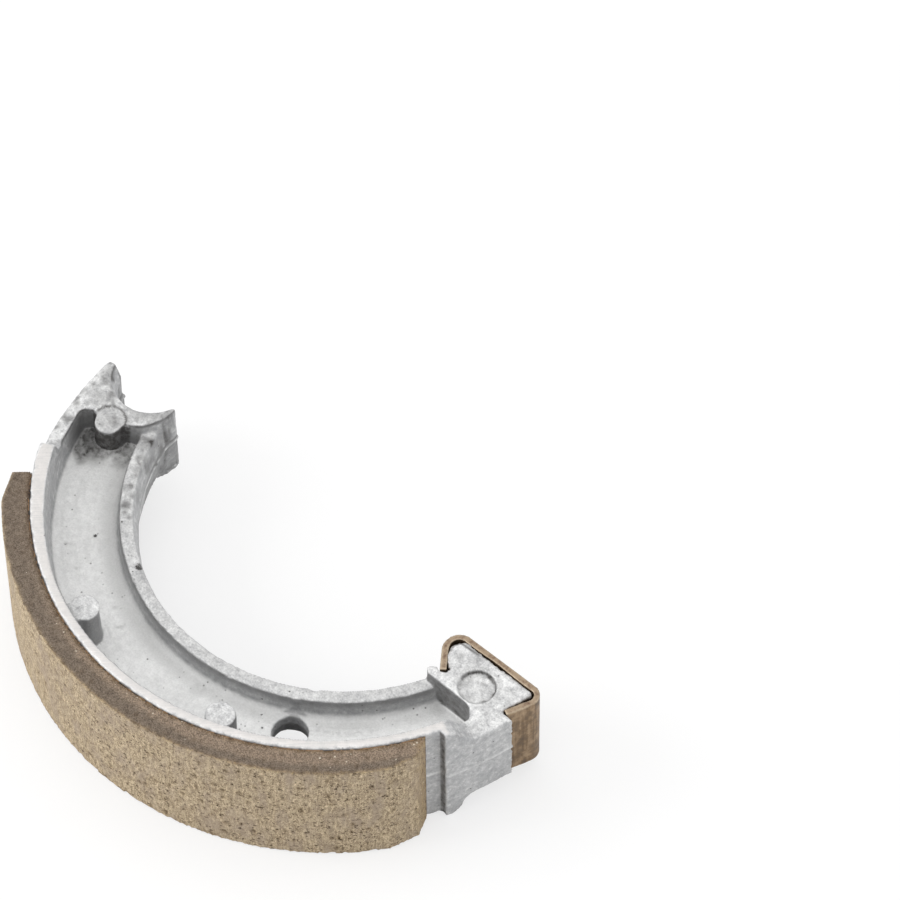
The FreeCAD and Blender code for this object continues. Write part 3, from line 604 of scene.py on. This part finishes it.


# Die-cast aluminium, shot out of a steel die and tumbled: pale matt grey skin, mottled where the
# die was worn, with small pores and grey oil stains; painted shade darkens the upright walls and
# corners, and painted light evens and pales the web. The two ground edges are brighter, with
# straight grinding lines.
def makeDieCastAluminium():
    finish = {
        "pale": "#ececeb", "dull": "#a4a4a5", "side": "#9b9c9e", "webPale": "#f0f0ef",
        "webDull": "#d6d6d5", "groundPale": "#d8d4d1", "groundDull": "#c6c4c2",
        "edge": "#f5f5f4", "grimeAndShade": "#464442", "rust": "#5d4a38", "pore": "#3d3b38",
        "blotch": 4.0, "mottle": 1.1, "grain": 0.32, "poreCell": 1.3, "lineWidth": 0.2,
        "lineLength": 12.0, "lineTurn": 44.0,
    }
    material, tree = newMaterial("dieCastAluminium")
    place = addNode(tree, "ShaderNodeTexCoord").outputs["Object"]
    marks = {name: addNode(tree, "ShaderNodeAttribute", {"attribute_name": name}).outputs["Fac"]
             for name in ("ground", "rubbed", "web", "grimeAndShade", "rust", "edge", "spot")}
    blotch, mottle, grain = (
        addNode(tree, "ShaderNodeTexNoise", {"Scale": perSize(finish[name]), "Detail": detail,
                                             "Roughness": roughness, "Vector": place}).outputs["Fac"]
        for name, detail, roughness in (("blotch", 3, 0.55), ("mottle", 5, 0.72), ("grain", 2, 0.6)))
    # blotch, mottle and grain together choose between the dull and the pale grey
    both = addNode(tree, "ShaderNodeMath", {
        "operation": "MULTIPLY_ADD", 0: blotch, 1: 0.4, 2: mottle}).outputs[0]
    both = addNode(tree, "ShaderNodeMath", {
        "operation": "MULTIPLY_ADD", 0: grain, 1: 0.5, 2: both}).outputs[0]
    # ground edges: straight fine lines across both ends
    turned = addNode(tree, "ShaderNodeVectorRotate", {
        "rotation_type": "Z_AXIS", "Angle": -math.radians(finish["lineTurn"]),
        "Vector": place}).outputs[0]
    turned = addNode(tree, "ShaderNodeMapping", {
        "Scale": (1 / finish["lineLength"], 1 / finish["lineWidth"], 1), "Vector": turned}).outputs[0]
    lines = addNode(tree, "ShaderNodeTexNoise", {
        "Scale": 1000.0, "Detail": 3, "Roughness": 0.6, "Vector": turned}).outputs["Fac"]
    lined = addNode(tree, "ShaderNodeMath", {
        "operation": "MULTIPLY_ADD", 0: both, 1: 0.7, 2: lines}).outputs[0]
    # pores: small dark dots in clusters
    cell = addNode(tree, "ShaderNodeTexVoronoi", {
        "Scale": perSize(finish["poreCell"]), "Randomness": 1.0, "Vector": place}).outputs["Distance"]
    spot = addNode(tree, "ShaderNodeMath", {
        "operation": "MULTIPLY_ADD", 0: grain, 1: 0.5, 2: marks["spot"]}).outputs[0]
    tone, sideTone, dot, cluster, spot, groundTone, patchy, rough = (
        addNode(tree, "ShaderNodeMapRange", {"Value": source, "From Min": low, "From Max": high,
                                             "To Min": atLow, "To Max": atHigh}).outputs[0]
        for source, low, high, atLow, atHigh in (
            (both, 0.72, 1.16, 0, 1), (mottle, 0.3, 0.75, 0.8, 0.25), (cell, 0.06, 0.17, 0.85, 0),
            (blotch, 0.5, 0.64, 0, 1), (spot, 0.62, 0.74, 0, 0.95), (lined, 0.98, 1.36, 0, 1),
            (mottle, 0.36, 0.58, 0.7, 1.05), (mottle, 0.3, 0.7, 0.5, 0.68)))
    skin, webSkin, groundSkin = (
        addNode(tree, "ShaderNodeMix", {"data_type": "RGBA", 0: share, 6: hexColour(finish[dull]),
                                        7: hexColour(finish[pale])}).outputs[2]
        for share, dull, pale in ((tone, "dull", "pale"), (tone, "webDull", "webPale"),
                                  (groundTone, "groundDull", "groundPale")))
    # painted shade: upright walls take the darker side grey
    upright = addNode(tree, "ShaderNodeMath", {
        "operation": "MULTIPLY_ADD", 0: marks["rubbed"], 1: -1.0, 2: 1.0}).outputs[0]
    paintedSideShade, dots, edgeShare, grimeAndShadeShare, rustShare = (
        addNode(tree, "ShaderNodeMath", {"operation": "MULTIPLY", 0: one, 1: other}).outputs[0]
        for one, other in ((sideTone, upright), (dot, cluster), (marks["edge"], 0.6),
                           (marks["grimeAndShade"], patchy), (marks["rust"], patchy)))
    dots = addNode(tree, "ShaderNodeMath", {"operation": "MAXIMUM", 0: dots, 1: spot}).outputs[0]
    # the side grey is painted shade on upright walls, the web skin is painted light, and the grime colour
    # is real grime together with painted shade
    for share, over in (
            (paintedSideShade, hexColour(finish["side"])), (marks["web"], webSkin),
            (dots, hexColour(finish["pore"])), (marks["ground"], groundSkin),
            (edgeShare, hexColour(finish["edge"])), (grimeAndShadeShare, hexColour(finish["grimeAndShade"])),
            (rustShare, hexColour(finish["rust"]))):
        skin = addNode(tree, "ShaderNodeMix", {
            "data_type": "RGBA", 0: share, 6: skin, 7: over}).outputs[2]
    rough = addNode(tree, "ShaderNodeMix", {
        "data_type": "FLOAT", 0: marks["ground"], 2: rough, 3: 0.42}).outputs[0]
    relief = addNode(tree, "ShaderNodeMath", {
        "operation": "MULTIPLY_ADD", 0: grain, 1: 0.7, 2: mottle}).outputs[0]
    castBump = addNode(tree, "ShaderNodeBump", {
        "Strength": 0.7, "Distance": 0.00014, "Height": relief}).outputs[0]
    dotBump = addNode(tree, "ShaderNodeBump", {
        "Strength": 0.6, "Distance": 0.00015, "invert": True, "Height": dots,
        "Normal": castBump}).outputs[0]
    lineBump = addNode(tree, "ShaderNodeBump", {
        "Strength": 0.2, "Distance": 0.00002, "Height": lines}).outputs[0]
    slope = addNode(tree, "ShaderNodeMix", {
        "data_type": "VECTOR", 0: marks["ground"], 4: dotBump, 5: lineBump}).outputs[1]
    shader = addNode(tree, "ShaderNodeBsdfPrincipled", {
        "Metallic": 0.4, "Base Color": skin, "Roughness": rough, "Normal": slope})
    addNode(tree, "ShaderNodeOutputMaterial", {"Surface": shader.outputs[0]})
    return material


dieCastAluminium = makeDieCastAluminium()
dress(castShoe, dieCastAluminium)
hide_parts("shoe_casting")
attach(castShoe, "root")
print("casting", len(castShoe.data.polygons))


lining = {  # the friction lining
    "voxel": 0.3,
    "smoothing": 1,
    "triangles": 150000,
    "outer": 55.0,
}

liningBlock = copyOfNode("friction_lining", "liningBlock")
remesh(liningBlock, lining["voxel"], lining["smoothing"])


def liningWear(mesh):
    points, normals, edges = readMesh(mesh)
    bend = hollowness(points, normals, edges)
    brink = blur(np.clip(-bend * 4, 0, 1), edges, 2)
    lift = -0.06 + 0.03 * ripple(points, 0.8) + 0.03 * ripple(points, 0.4, 3)
    chip = np.clip(ripple(points, 1.0, 6), 0, 1)
    lift -= brink * chip * 0.8  # crumbled brinks
    stretched = points * np.array([1, 1, 0.7])
    pit = smoothStep(0.48, 0.64, ripple(stretched, 0.75, 12))
    radius = fromAxis(points)
    rubbed = smoothStep(54.3, 54.8, radius)
    lift -= pit * (0.08 + 0.10 * rubbed)
    against = smoothStep(50.8, 50.6, radius)  # stays flat where it is bonded
    writePoints(mesh, keptInside(points + normals * (lift * (1 - against))[:, None]))


liningWear(liningBlock.data)
thin(liningBlock, lining["triangles"])


def liningMarks(mesh):
    points, normals, edges = readMesh(mesh)
    radius = fromAxis(points)
    angle = aroundAxis(points)
    outward = np.einsum("ij,ij->i", normals[:, :2], points[:, :2]) / radius
    jitter = 0.3 * ripple(points, 0.9, 1) + 0.15 * ripple(points, 0.45, 2)
    around = np.radians(angle)
    endwards = normals[:, 0] * np.cos(around) + normals[:, 1] * np.sin(around)
    camFace = 0.85 * smoothStep(0.5, 0.8, endwards) * (angle > 50)
    turned = np.maximum(smoothStep(0.55, 0.8, outward + jitter), camFace)
    writeAttribute(mesh, "turned", blur(turned, edges, 1))
    bend = hollowness(points, normals, edges)
    brink = blur(np.clip(-bend * 5 - 0.3, 0, 1), edges, 2)
    camEnd = smoothStep(56.5, 60.0, angle + 0.8 * ripple(points, 2.0, 3)) * 0.55
    brink *= 0.35 + 0.65 * smoothStep(-40, -5, angle)
    writeAttribute(mesh, "brink", np.maximum(brink, camEnd))
    # painted shade: hollows darkened in the crumbs' colour
    writeAttribute(mesh, "pit", blur(np.clip(bend * 8, 0, 1), edges, 1))
    writeAttribute(mesh, "bond", smoothStep(50.95, 50.65, radius + 0.3 * ripple(points, 0.6, 8)))
    dustReach = radius - 1.2 * smoothStep(0, 25, angle) + 0.35 * ripple(points, 1.2, 13)
    dusty = smoothStep(52.6, 51.4, dustReach) * (0.2 + 0.8 * smoothStep(-32, -8, angle))
    writeAttribute(mesh, "dusty", dusty)
    low = smoothStep(1.8, 0.4, lining["outer"] - radius) * smoothStep(-25, -5, angle)
    crumbly = smoothStep(18.5, 24, points[:, 2] + 2.5 * ripple(points, 3.0, 10))
    writeAttribute(mesh, "crumbly", np.maximum(low, crumbly))


liningMarks(liningBlock.data)


# Moulded brake lining: resin, fibre, rubber and mineral dust pressed hot and ground to its
# radius. The ground face is tan and fibrous with dark crumbs and lies open; the sides are browner
# and dusted paler along the bond line.
def makeBrakeLining():
    finish = {
        "faceDark": "#7d6b55", "facePale": "#decbab", "faceGrey": "#a79786",
        "sideDark": "#5a4f45", "sidePale": "#8a7c6d", "dust": "#a5917d", "crumb": "#3f2c19",
        "fleck": "#e6ddca", "ochre": "#b0915a", "bondLine": "#4a3524",
        "blotch": 3.0, "fibre": 0.28, "streak": 0.35, "streakLength": 1.6, "grit": 0.2, "lump": 1.0,
        "crumbSize": 0.75, "fleckCell": 1.5,
    }
    material, tree = newMaterial("mouldedBrakeLining")
    place = addNode(tree, "ShaderNodeTexCoord").outputs["Object"]
    marks = {name: addNode(tree, "ShaderNodeAttribute", {"attribute_name": name}).outputs["Fac"]
             for name in ("turned", "brink", "pit", "bond", "dusty", "crumbly")}
    long, flat, streakPlace = (
        addNode(tree, "ShaderNodeMapping", {"Scale": scale, "Vector": place}).outputs[0]
        for scale in ((1, 1, 0.4), (1, 1, 1.2),
                      (1 / finish["streak"], 1 / finish["streak"], 1 / finish["streakLength"])))
    blotch, fibre, grit, lump, crumbNoise = (
        addNode(tree, "ShaderNodeTexNoise", {
            "Scale": perSize(finish[name]), "Detail": detail, "Roughness": roughness,
            "Distortion": distortion, "Vector": where}).outputs["Fac"]
        for name, detail, roughness, distortion, where in (
            ("blotch", 4, 0.6, 0, long), ("fibre", 4, 0.75, 1.6, place), ("grit", 3, 0.75, 0, place),
            ("lump", 3, 0.6, 0, place), ("crumbSize", 4, 0.65, 0.4, flat)))
    streak = addNode(tree, "ShaderNodeTexNoise", {
        "Scale": 1000.0, "Detail": 3, "Roughness": 0.65, "Vector": streakPlace}).outputs["Fac"]
    # fibres and upright streaks on the ground face, grit and lumps on the sides, crumbs on both
    threads, gritty, crumbNoise = (
        addNode(tree, "ShaderNodeMath", {
            "operation": "MULTIPLY_ADD", 0: one, 1: share, 2: other}).outputs[0]
        for one, share, other in ((streak, 0.35, fibre), (lump, 0.3, grit),
                                  (marks["crumbly"], 0.05, crumbNoise)))
    faceTone, greyShare, sideTone, dustTone, crumb, crumbShare, bondTone = (
        addNode(tree, "ShaderNodeMapRange", {"Value": source, "From Min": low, "From Max": high,
                                             "To Min": atLow, "To Max": atHigh}).outputs[0]
        for source, low, high, atLow, atHigh in (
            (threads, 0.585, 0.765, 0, 1), (blotch, 0.46, 0.66, 0, 0.7), (gritty, 0.55, 0.75, 0, 1),
            (grit, 0.44, 0.56, 0.15, 0.9), (crumbNoise, 0.63, 0.7, 0, 0.9),
            (marks["turned"], 0, 1, 0.35, 1), (fibre, 0.46, 0.56, 0, 1)))
    face, side = (
        addNode(tree, "ShaderNodeMix", {"data_type": "RGBA", 0: share, 6: hexColour(finish[dark]),
                                        7: hexColour(finish[pale])}).outputs[2]
        for share, dark, pale in ((faceTone, "faceDark", "facePale"), (sideTone, "sideDark", "sidePale")))
    fleckCell = addNode(tree, "ShaderNodeTexVoronoi", {
        "Scale": perSize(finish["fleckCell"]), "Randomness": 1.0, "Vector": place}).outputs["Distance"]
    fleckReach = addNode(tree, "ShaderNodeMath", {
        "operation": "MULTIPLY_ADD", 0: marks["dusty"], 1: 0.06, 2: 0.05}).outputs[0]
    fleck = addNode(tree, "ShaderNodeMath", {
        "operation": "LESS_THAN", 0: fleckCell, 1: fleckReach}).outputs[0]
    dustShare, ochreShare, crumb, fleckShare, bondShare, pitShadeShare = (
        addNode(tree, "ShaderNodeMath", {"operation": "MULTIPLY", 0: one, 1: other}).outputs[0]
        for one, other in ((marks["dusty"], dustTone), (marks["brink"], faceTone), (crumb, crumbShare),
                           (fleck, 0.7), (marks["bond"], bondTone), (marks["pit"], 0.9)))
    face = addNode(tree, "ShaderNodeMix", {
        "data_type": "RGBA", 0: greyShare, 6: face, 7: hexColour(finish["faceGrey"])}).outputs[2]
    side = addNode(tree, "ShaderNodeMix", {
        "data_type": "RGBA", 0: dustShare, 6: side, 7: hexColour(finish["dust"])}).outputs[2]
    colour = addNode(tree, "ShaderNodeMix", {
        "data_type": "RGBA", 0: marks["turned"], 6: side, 7: face}).outputs[2]
    # the crumb colour laid on the pits is painted shade in the hollows
    for name, share in (("ochre", ochreShare), ("crumb", crumb), ("fleck", fleckShare),
                        ("bondLine", bondShare), ("crumb", pitShadeShare)):
        colour = addNode(tree, "ShaderNodeMix", {
            "data_type": "RGBA", 0: share, 6: colour, 7: hexColour(finish[name])}).outputs[2]
    relief = addNode(tree, "ShaderNodeMath", {
        "operation": "MULTIPLY_ADD", 0: grit, 1: 0.8, 2: threads}).outputs[0]
    slope = addNode(tree, "ShaderNodeBump", {
        "Strength": 0.75, "Distance": 0.0002, "Height": relief}).outputs[0]
    slope = addNode(tree, "ShaderNodeBump", {
        "Strength": 0.5, "Distance": 0.0002, "invert": True, "Height": crumb,
        "Normal": slope}).outputs[0]
    shader = addNode(tree, "ShaderNodeBsdfPrincipled", {
        "Roughness": 0.86, "Specular IOR Level": 0.3, "Base Color": colour, "Normal": slope})
    addNode(tree, "ShaderNodeOutputMaterial", {"Surface": shader.outputs[0]})
    return material


dress(liningBlock, makeBrakeLining())
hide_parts("friction_lining")
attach(liningBlock, "root")
print("lining", len(liningBlock.data.polygons))


# Phenolic lining adhesive, baked hard: dark brown, slightly glossy, with dust in it.
def makeBondAdhesive():
    finish = {"dark": "#2b211a", "brown": "#8f6c45", "lump": 0.7}
    material, tree = newMaterial("bakedPhenolicAdhesive")
    place = addNode(tree, "ShaderNodeTexCoord").outputs["Object"]
    lump = addNode(tree, "ShaderNodeTexNoise", {
        "Scale": perSize(finish["lump"]), "Detail": 3, "Roughness": 0.6, "Vector": place}).outputs["Fac"]
    tone = addNode(tree, "ShaderNodeMapRange", {
        "Value": lump, "From Min": 0.43, "From Max": 0.58}).outputs[0]
    colour = addNode(tree, "ShaderNodeMix", {
        "data_type": "RGBA", 0: tone, 6: hexColour(finish["dark"]),
        7: hexColour(finish["brown"])}).outputs[2]
    slope = addNode(tree, "ShaderNodeBump", {
        "Strength": 0.5, "Distance": 0.0001, "Height": lump}).outputs[0]
    shader = addNode(tree, "ShaderNodeBsdfPrincipled", {
        "Roughness": 0.5, "Base Color": colour, "Normal": slope})
    addNode(tree, "ShaderNodeOutputMaterial", {"Surface": shader.outputs[0]})
    return material


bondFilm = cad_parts["adhesive_film"]
bondFilm.data.materials.clear()
bondFilm.data.materials.append(makeBondAdhesive())
print("bond line")


clip = {  # the folded clip
    "voxel": 0.18,
    "smoothing": 1,
    "evened": 6,
    "triangles": 70000,
    "thinned": 0.2,  # how much thinner it is on the cam pad than at its lips
    "stoodOff": 0.15,  # how far it lies off the pad
}

wearClip = copyOfNode("cam_clip", "wearClip")
remesh(wearClip, clip["voxel"], clip["smoothing"])
evenOut(wearClip, clip["evened"])
layOn(wearClip, "cam_clip")


def clipWear(mesh):
    points, normals, edges = readMesh(mesh)
    lift = 0.012 * ripple(points, 2.5) + 0.008 * ripple(points, 0.7, 4) - 0.02
    brink = blur(np.clip(-hollowness(points, normals, edges) * 4, 0, 1), edges, 1)
    lift -= brink * np.clip(ripple(points, 1.2, 7), 0, 1) * 0.12
    toMiddle = points[:, :2].mean(axis=0) - points[:, :2]
    facing = np.einsum("ij,ij->i", normals[:, :2], toMiddle) / (np.linalg.norm(toMiddle, axis=1) + 1e-9)
    onPad = smoothStep(-7.5, -6.0, points[:, 1])
    lift -= smoothStep(0.2, 0.7, facing) * onPad * clip["thinned"]
    points += normals * lift[:, None]
    points[:, 1] += onPad * clip["stoodOff"]
    writePoints(mesh, points)


clipWear(wearClip.data)
thin(wearClip, clip["triangles"])


def clipMarks(mesh):
    points, normals, edges = readMesh(mesh)
    bend = hollowness(points, normals, edges)
    ragged = np.clip(0.85 + 0.5 * ripple(points, 1.5, 9), 0, 1)
    writeAttribute(mesh, "edge", blur(np.clip(-bend * 4 - 0.3, 0, 1), edges, 1) * ragged)
    writeAttribute(mesh, "cut", smoothStep(0.6, 0.9, np.abs(normals[:, 2])))


clipMarks(wearClip.data)


# Spring steel strip, sheared and folded, then tempered: bronze-brown oxide with darker
# blotches and rubbed spots; the sheared edges are paler, with a bright burr along them.
def makeTemperedSteel():
    finish = {
        "dark": "#4a3e33", "brown": "#80694f", "pale": "#b0997c", "cut": "#9f8c76",
        "cutDark": "#76604f", "rubbedEdge": "#ddd0ba", "blotch": 3.4, "fine": 0.9,
        "scratchWidth": 0.5, "scratchLength": 7.0,
    }
    material, tree = newMaterial("temperedSpringSteel")
    place = addNode(tree, "ShaderNodeTexCoord").outputs["Object"]
    edge, cut = (addNode(tree, "ShaderNodeAttribute", {"attribute_name": name}).outputs["Fac"]
                 for name in ("edge", "cut"))
    blotch, fine = (
        addNode(tree, "ShaderNodeTexNoise", {"Scale": perSize(finish[name]), "Detail": detail,
                                             "Roughness": roughness, "Vector": place}).outputs["Fac"]
        for name, detail, roughness in (("blotch", 5, 0.65), ("fine", 4, 0.7)))
    streakPlace = addNode(tree, "ShaderNodeMapping", {
        "Scale": (1 / finish["scratchWidth"], 1 / finish["scratchWidth"], 1 / finish["scratchLength"]),
        "Vector": place}).outputs[0]
    streak = addNode(tree, "ShaderNodeTexNoise", {
        "Scale": 1000.0, "Detail": 2, "Vector": streakPlace}).outputs["Fac"]
    both = addNode(tree, "ShaderNodeMath", {
        "operation": "MULTIPLY_ADD", 0: fine, 1: 0.5, 2: blotch}).outputs[0]
    both = addNode(tree, "ShaderNodeMath", {
        "operation": "MULTIPLY_ADD", 0: streak, 1: 0.45, 2: both}).outputs[0]
    lowTone, highTone, cutTone, rough = (
        addNode(tree, "ShaderNodeMapRange", {"Value": source, "From Min": low, "From Max": high,
                                             "To Min": atLow, "To Max": atHigh}).outputs[0]
        for source, low, high, atLow, atHigh in (
            (both, 0.68, 0.98, 0, 1), (both, 0.95, 1.22, 0, 1), (fine, 0.36, 0.56, 0, 1),
            (fine, 0.35, 0.7, 0.36, 0.6)))
    colour, cutSkin = (
        addNode(tree, "ShaderNodeMix", {"data_type": "RGBA", 0: share, 6: hexColour(finish[dark]),
                                        7: hexColour(finish[pale])}).outputs[2]
        for share, dark, pale in ((lowTone, "dark", "brown"), (cutTone, "cutDark", "cut")))
    edgeShare = addNode(tree, "ShaderNodeMath", {"operation": "MULTIPLY", 0: edge, 1: 0.7}).outputs[0]
    for share, over in ((highTone, hexColour(finish["pale"])), (cut, cutSkin),
                        (edgeShare, hexColour(finish["rubbedEdge"]))):
        colour = addNode(tree, "ShaderNodeMix", {
            "data_type": "RGBA", 0: share, 6: colour, 7: over}).outputs[2]
    slope = addNode(tree, "ShaderNodeBump", {
        "Strength": 0.3, "Distance": 0.00004, "Height": streak}).outputs[0]
    slope = addNode(tree, "ShaderNodeBump", {
        "Strength": 0.4, "Distance": 0.00008, "Height": fine, "Normal": slope}).outputs[0]
    shader = addNode(tree, "ShaderNodeBsdfPrincipled", {
        "Metallic": 0.7, "Base Color": colour, "Roughness": rough, "Normal": slope})
    addNode(tree, "ShaderNodeOutputMaterial", {"Surface": shader.outputs[0]})
    return material


dress(wearClip, makeTemperedSteel())
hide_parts("cam_clip")
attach(wearClip, "root")
print("clip", len(wearClip.data.polygons))


stage = {  # floor and lights, in metres
    "floorColour": "#f2f2f2", "floorSize": 4.0, "floorDrop": 0.00002, "shadowShare": 0.36,
    "worldLight": 0.9,
    "keyPlace": (-0.53, -0.53, 0.42), "keySize": 0.5, "keyPower": 3.5,
    "topPlace": (-0.05, 0.05, 0.85), "topSize": 0.6, "topPower": 1.0,
    "backPlace": (0.53, 0.53, 0.42), "backSize": 0.5, "backPower": 0.6,
    "lightsAim": (0, -0.025, 0.01),
}

sheet = bmesh.new()
bmesh.ops.create_grid(sheet, x_segments=1, y_segments=1, size=stage["floorSize"] / 2)
bmesh.ops.translate(sheet, verts=sheet.verts, vec=(0, 0, -stage["floorDrop"]))
floorMesh = bpy.data.meshes.new("floor")
sheet.to_mesh(floorMesh)
sheet.free()
floor = bpy.data.objects.new("floor", floorMesh)
bpy.context.scene.collection.objects.link(floor)
paper, tree = newMaterial("whitePaper")  # matt seamless paper; shows paler to the camera than it lights
seen = addNode(tree, "ShaderNodeLightPath")
seenBy = addNode(tree, "ShaderNodeMath", {
    "operation": "MULTIPLY", 0: seen.outputs["Is Camera Ray"], 1: 1 - stage["shadowShare"]}).outputs[0]
matt = addNode(tree, "ShaderNodeBsdfDiffuse", {"Color": hexColour(stage["floorColour"])}).outputs[0]
glow = addNode(tree, "ShaderNodeEmission", {"Color": (1, 1, 1, 1), "Strength": 1.0}).outputs[0]
sheetMix = addNode(tree, "ShaderNodeMixShader", {0: seenBy, 1: matt, 2: glow}).outputs[0]
addNode(tree, "ShaderNodeOutputMaterial", {"Surface": sheetMix})
floorMesh.materials.append(paper)

world = bpy.data.worlds.new("studio")
world.use_nodes = True
world.node_tree.nodes.clear()
tree = world.node_tree
rays = addNode(tree, "ShaderNodeLightPath")
shown = addNode(tree, "ShaderNodeMath", {
    "operation": "MAXIMUM", 0: rays.outputs["Is Camera Ray"], 1: rays.outputs["Is Glossy Ray"]}).outputs[0]
shown = addNode(tree, "ShaderNodeMath", {
    "operation": "MAXIMUM", 0: shown, 1: rays.outputs["Is Transmission Ray"]}).outputs[0]
dim, white = (
    addNode(tree, "ShaderNodeBackground", {"Color": (1, 1, 1, 1), "Strength": strength}).outputs[0]
    for strength in (stage["worldLight"], 1.0))
mixed = addNode(tree, "ShaderNodeMixShader", {0: shown, 1: dim, 2: white}).outputs[0]
addNode(tree, "ShaderNodeOutputWorld", {"Surface": mixed})
bpy.context.scene.world = world

for name in ("key", "top", "back"):
    lamp = bpy.data.lights.new(name, "AREA")
    lamp.size = stage[name + "Size"]
    lamp.energy = stage[name + "Power"]
    holder = bpy.data.objects.new(name, lamp)
    holder.location = stage[name + "Place"]
    aim = Vector(stage["lightsAim"]) - holder.location
    holder.rotation_euler = aim.to_track_quat("-Z", "Y").to_euler()
    bpy.context.scene.collection.objects.link(holder)

view = {
    "right": (0.744869, 0.667188, -0.005458),
    "up": (-0.545094, 0.613236, 0.571676),
    "ahead": (-0.384763, 0.422849, -0.820461),
    "place": (0.3966044, -0.4060209, 0.8515775),
    "lens": 240.0, "sensor": 36.0,
    "nearest": 0.05, "farthest": 20.0,
}
lens = bpy.data.cameras.new("camera")
lens.lens = view["lens"]
lens.sensor_width = view["sensor"]
lens.clip_start = view["nearest"]
lens.clip_end = view["farthest"]
camera = bpy.data.objects.new("camera", lens)
axes = Matrix((view["right"], view["up"], [-v for v in view["ahead"]])).transposed()
camera.matrix_world = Matrix.Translation(view["place"]) @ axes.to_4x4()
bpy.context.scene.collection.objects.link(camera)
bpy.context.scene.camera = camera
bpy.context.scene.view_settings.view_transform = "Standard"
print("stage")
